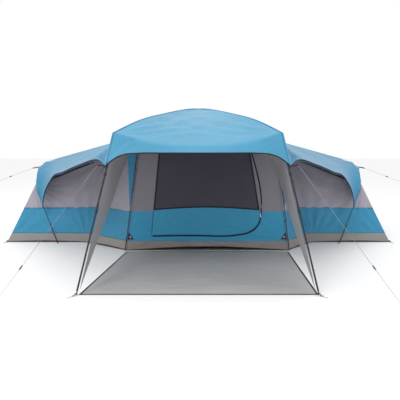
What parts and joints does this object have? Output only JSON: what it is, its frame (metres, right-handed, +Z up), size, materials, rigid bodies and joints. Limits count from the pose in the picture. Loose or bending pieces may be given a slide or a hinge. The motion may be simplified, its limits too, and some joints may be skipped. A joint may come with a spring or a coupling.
{
  "type": "family tent",
  "caption": "Family tent with a crossed-pole dome over an open porch and living room, a bedroom wing on each side, a zipped mesh-window door, tub floor, guys and pegs.",
  "frame": {"origin": "on the ground, under the crossing of the two long roof poles, which is the middle of the footprint", "axes": "+X to the right across both wings, +Y from the porch to the rear, +Z up"},
  "size_m": [7.6206, 5.8089, 2.0929],
  "materials": {
    "fly_fabric": "coated polyester, slight sheen",
    "lining_fabric": "silver-grey inner coating",
    "wall_blue_fabric": "coated polyester",
    "wall_grey_fabric": "breathable polyester",
    "mesh_fabric": "fine dark mesh",
    "groundsheet_fabric": "woven polyethylene",
    "binding_tape": "folded tape",
    "zip_tape": "coil zip and tape",
    "zip_metal": "die-cast",
    "black_steel": "black powder coat",
    "black_fibreglass": "pultruded rod",
    "peg_steel": "bright steel",
    "black_plastic": "moulded",
    "guy_rope": "braided cord",
    "maroon_webbing": "woven webbing"
  },
  "bodies": {
    "tent": {"arch_pole_tips": "peg_steel", "awning_gusset_left": "lining_fabric", "awning_gusset_right": "lining_fabric", "body_side_left_wall": "wall_grey_fabric", "body_side_right_wall": "wall_grey_fabric", "crown_tie": "black_plastic", "door_zip": "zip_tape", "fly_end_left": "fly_fabric", "fly_end_right": "fly_fabric", "fly_roof_front": "fly_fabric", "fly_roof_left": "fly_fabric", "fly_roof_rear": "fly_fabric", "fly_roof_right": "fly_fabric", "fly_wing_left": "fly_fabric", "fly_wing_right": "fly_fabric", "front_guy_left_rope": "guy_rope", "front_guy_right_rope": "guy_rope", "front_wall_lower": "wall_blue_fabric", "front_wall_pole": "black_fibreglass", "front_wall_upper": "wall_grey_fabric", "ground_pegs": "peg_steel", "guy_end_loops": "guy_rope", "guy_pegs": "peg_steel", "guy_tabs": "maroon_webbing", "left_wing_pole": "black_fibreglass", "leg_clips": "black_plastic", "leg_ferrules": "black_steel", "leg_tips": "peg_steel", "living_room_mesh_roof": "mesh_fabric", "peg_rings": "peg_steel", "porch_binding": "binding_tape", "porch_groundsheet": "groundsheet_fabric", "porch_legs": "black_steel", "rear_legs": "black_steel", "rear_wall": "wall_grey_fabric", "right_wing_pole": "black_fibreglass", "roof_elbows": "black_steel", "roof_pole_a": "black_fibreglass", "roof_pole_b": "black_fibreglass", "tub_floor": "groundsheet_fabric", "tub_upstand": "groundsheet_fabric", "wing_end_left_wall": "wall_grey_fabric", "wing_end_right_wall": "wall_grey_fabric", "wing_front_left_wall": "wall_grey_fabric", "wing_front_right_wall": "wall_grey_fabric", "wing_guy_left_rope": "guy_rope", "wing_guy_right_rope": "guy_rope", "wing_inner_roof_left": "mesh_fabric", "wing_inner_roof_right": "mesh_fabric", "wing_rear_left_wall": "wall_grey_fabric", "wing_rear_right_wall": "wall_grey_fabric"},
    "door": {"door_panel": "wall_blue_fabric", "door_window_mesh": "mesh_fabric"},
    "zip_slider": {"zip_slider": "zip_metal"},
    "zip_pull": {"zip_pull": "zip_metal"},
    "front_guy_left_runner": {"front_guy_left_runner": "black_plastic"},
    "wing_guy_left_runner": {"wing_guy_left_runner": "black_plastic"},
    "front_guy_right_runner": {"front_guy_right_runner": "black_plastic"},
    "wing_guy_right_runner": {"wing_guy_right_runner": "black_plastic"}
  },
  "joints": [
    {"name": "door_swing", "type": "hinge", "parent": "tent", "child": "door", "pos_m": [-0.68, -0.53, 0.225], "axis": [-0.1006, 0, -0.9949], "range_deg": [0, 90]},
    {"name": "zip_run", "type": "slide", "parent": "tent", "child": "zip_slider", "axis": [-0.1719, 0, 0.9851], "range_m": [0, 0.96]},
    {"name": "zip_pull_flip", "type": "hinge", "parent": "zip_slider", "child": "zip_pull", "pos_m": [0.90002, -0.543, 0.54], "axis": [-1, 0, 0], "range_deg": [0, 150]},
    {"name": "front_guy_left_runner_slide", "type": "slide", "parent": "tent", "child": "front_guy_left_runner", "axis": [-0.4677, -0.4955, -0.7319], "range_m": [-0.9, 0.3]},
    {"name": "wing_guy_left_runner_slide", "type": "slide", "parent": "tent", "child": "wing_guy_left_runner", "axis": [-0.9367, 0, -0.3502], "range_m": [-0.36, 0.28]},
    {"name": "front_guy_right_runner_slide", "type": "slide", "parent": "tent", "child": "front_guy_right_runner", "axis": [0.4677, -0.4955, -0.7319], "range_m": [-0.9, 0.3]},
    {"name": "wing_guy_right_runner_slide", "type": "slide", "parent": "tent", "child": "wing_guy_right_runner", "axis": [0.9367, 0, -0.3502], "range_m": [-0.36, 0.28]}
  ]
}
